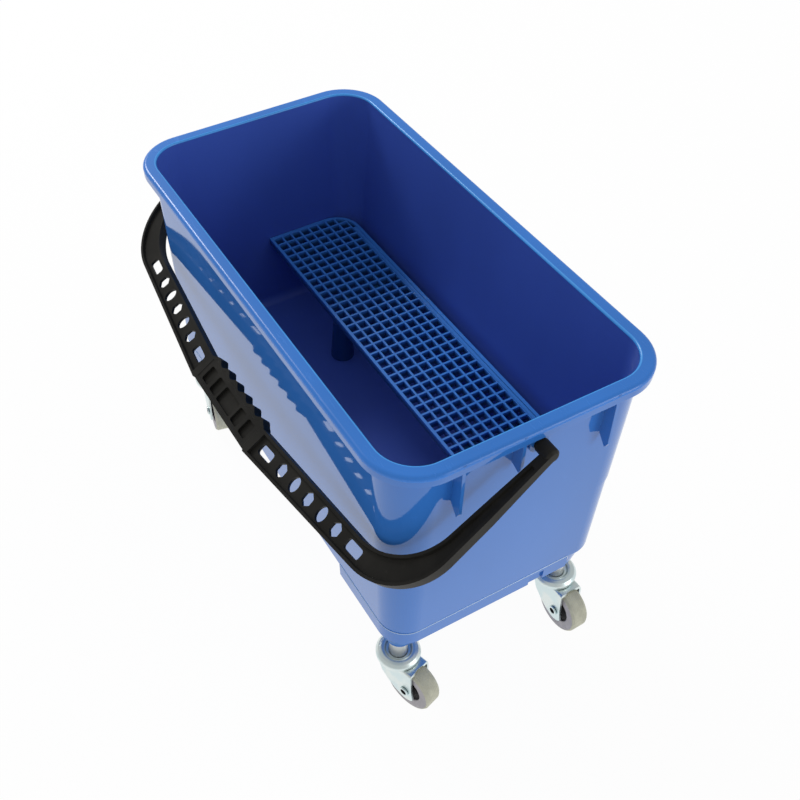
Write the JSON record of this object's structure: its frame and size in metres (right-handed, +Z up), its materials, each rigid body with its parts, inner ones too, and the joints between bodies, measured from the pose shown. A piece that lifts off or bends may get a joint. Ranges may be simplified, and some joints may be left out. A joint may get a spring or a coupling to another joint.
{
  "type": "mop bucket",
  "caption": "Rectangular flat-mop bucket with a rolled rim, a lift-out drain grid over the back half, a bail handle with cut-outs and finger grooves, and swivel stem casters.",
  "frame": {"origin": "on the floor under the middle of the object's bounding box; the casters stand on z = 0", "axes": "+Z up; X along the tub's long side; the handle hangs on the -Y side and the drain grid lies on the +Y side"},
  "size_m": [0.534, 0.2928, 0.354],
  "materials": {
    "blue_polypropylene": "glossy moulded",
    "grid_polypropylene": "satin moulded",
    "black_polypropylene": "satin moulded",
    "zinc_plated_steel": "bright zinc plating",
    "bright_steel": "bright turned",
    "black_nylon": "matt moulded",
    "grey_rubber": "matt"
  },
  "bodies": {
    "tub": {"bucket_body": "blue_polypropylene", "caster_1_stem": "bright_steel", "caster_1_cup": "zinc_plated_steel", "caster_2_stem": "bright_steel", "caster_2_cup": "zinc_plated_steel", "caster_3_stem": "bright_steel", "caster_3_cup": "zinc_plated_steel", "caster_4_stem": "bright_steel", "caster_4_cup": "zinc_plated_steel"},
    "handle": {"handle": "black_polypropylene"},
    "drain_grid": {"drain_grid": "grid_polypropylene"},
    "swivel_1": {"caster_1_fork": "zinc_plated_steel", "caster_1_axle": "zinc_plated_steel"},
    "wheel_1": {"caster_1_wheel_core": "black_nylon", "caster_1_tyre": "grey_rubber"},
    "swivel_2": {"caster_2_fork": "zinc_plated_steel", "caster_2_axle": "zinc_plated_steel"},
    "wheel_2": {"caster_2_wheel_core": "black_nylon", "caster_2_tyre": "grey_rubber"},
    "swivel_3": {"caster_3_fork": "zinc_plated_steel", "caster_3_axle": "zinc_plated_steel"},
    "wheel_3": {"caster_3_wheel_core": "black_nylon", "caster_3_tyre": "grey_rubber"},
    "swivel_4": {"caster_4_fork": "zinc_plated_steel", "caster_4_axle": "zinc_plated_steel"},
    "wheel_4": {"caster_4_wheel_core": "black_nylon", "caster_4_tyre": "grey_rubber"}
  },
  "joints": [
    {"name": "handle_swing", "type": "hinge", "parent": "tub", "child": "handle", "pos_m": [0, 0.01565, 0.335], "axis": [-1, 0, 0], "range_deg": [0, 250]},
    {"name": "grid_lift", "type": "slide", "parent": "tub", "child": "drain_grid", "axis": [0, 0, 1], "range_m": [0, 0.24]},
    {"name": "swivel_1_turn", "type": "hinge", "parent": "tub", "child": "swivel_1", "pos_m": [0.203, -0.07285, 0.054], "axis": [0, 0, 1], "continuous": true},
    {"name": "wheel_1_roll", "type": "hinge", "parent": "swivel_1", "child": "wheel_1", "pos_m": [0.22193, -0.06706, 0.025], "axis": [0.2924, -0.9563, 0], "continuous": true},
    {"name": "swivel_2_turn", "type": "hinge", "parent": "tub", "child": "swivel_2", "pos_m": [0.203, 0.10415, 0.054], "axis": [0, 0, 1], "continuous": true},
    {"name": "wheel_2_roll", "type": "hinge", "parent": "swivel_2", "child": "wheel_2", "pos_m": [0.22278, 0.10502, 0.025], "axis": [0.0436, -0.999, 0], "continuous": true},
    {"name": "swivel_3_turn", "type": "hinge", "parent": "tub", "child": "swivel_3", "pos_m": [-0.203, -0.07285, 0.054], "axis": [0, 0, 1], "continuous": true},
    {"name": "wheel_3_roll", "type": "hinge", "parent": "swivel_3", "child": "wheel_3", "pos_m": [-0.18363, -0.07696, 0.025], "axis": [-0.2079, -0.9781, 0], "continuous": true},
    {"name": "swivel_4_turn", "type": "hinge", "parent": "tub", "child": "swivel_4", "pos_m": [-0.203, 0.10415, 0.054], "axis": [0, 0, 1], "continuous": true},
    {"name": "wheel_4_roll", "type": "hinge", "parent": "swivel_4", "child": "wheel_4", "pos_m": [-0.18379, 0.10894, 0.025], "axis": [0.2419, -0.9703, 0], "continuous": true}
  ]
}
